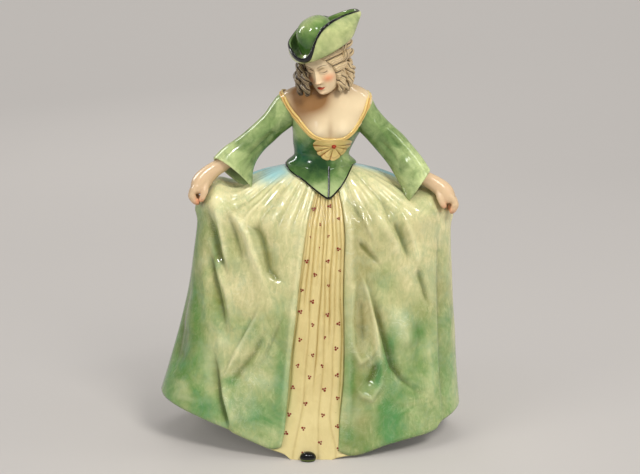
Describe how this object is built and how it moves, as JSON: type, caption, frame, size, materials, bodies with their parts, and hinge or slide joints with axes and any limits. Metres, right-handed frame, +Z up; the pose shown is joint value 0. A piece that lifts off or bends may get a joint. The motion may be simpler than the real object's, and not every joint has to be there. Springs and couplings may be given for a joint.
{
  "type": "porcelain lady figurine",
  "caption": "Glazed porcelain lady in a three-cornered hat and a wide draped gown, standing on her hollow skirt with both hands holding it out.",
  "frame": {"origin": "on the ground below the middle of the skirt's hem", "axes": "+Z up, -Y the front that the lady faces, +X her left"},
  "size_m": [0.2148, 0.1398, 0.3024],
  "materials": {
    "gown_glaze": "glossy pale green glaze shading to deeper green at the hem",
    "petticoat_glaze": "glossy cream yellow glaze",
    "bodice_glaze": "glossy deep green glaze",
    "sleeve_glaze": "glossy mottled green glaze",
    "skin_glaze": "smooth warm cream glaze",
    "hair_glaze": "glossy taupe glaze, darker in the grooves",
    "hat_glaze": "glossy green glaze with black edges",
    "trim_enamel": "golden yellow over-glaze enamel",
    "brooch_enamel": "glossy red-orange enamel",
    "shoe_enamel": "glossy black enamel"
  },
  "bodies": {
    "root": {"gown_skirt": "gown_glaze", "petticoat_panel": "petticoat_glaze", "bow_fan": "petticoat_glaze", "shoe_toe": "shoe_enamel", "bodice": "bodice_glaze", "neckline_band": "trim_enamel", "brooch": "brooch_enamel", "right_sleeve": "sleeve_glaze", "left_sleeve": "sleeve_glaze", "bust": "skin_glaze", "head": "skin_glaze", "right_hand": "skin_glaze", "left_hand": "skin_glaze", "hair_cap": "hair_glaze", "temple_roll_upper": "hair_glaze", "temple_roll_lower": "hair_glaze", "left_ringlet_front": "hair_glaze", "left_ringlet_side": "hair_glaze", "left_ringlet_rear": "hair_glaze", "right_ringlet_front": "hair_glaze", "right_ringlet_side": "hair_glaze", "right_ringlet_rear": "hair_glaze", "back_ringlet_right": "hair_glaze", "back_ringlet_middle_right": "hair_glaze", "back_ringlet_middle_left": "hair_glaze", "back_ringlet_left": "hair_glaze", "hat_crown": "hat_glaze", "hat_brim": "hat_glaze"}
  },
  "joints": []
}
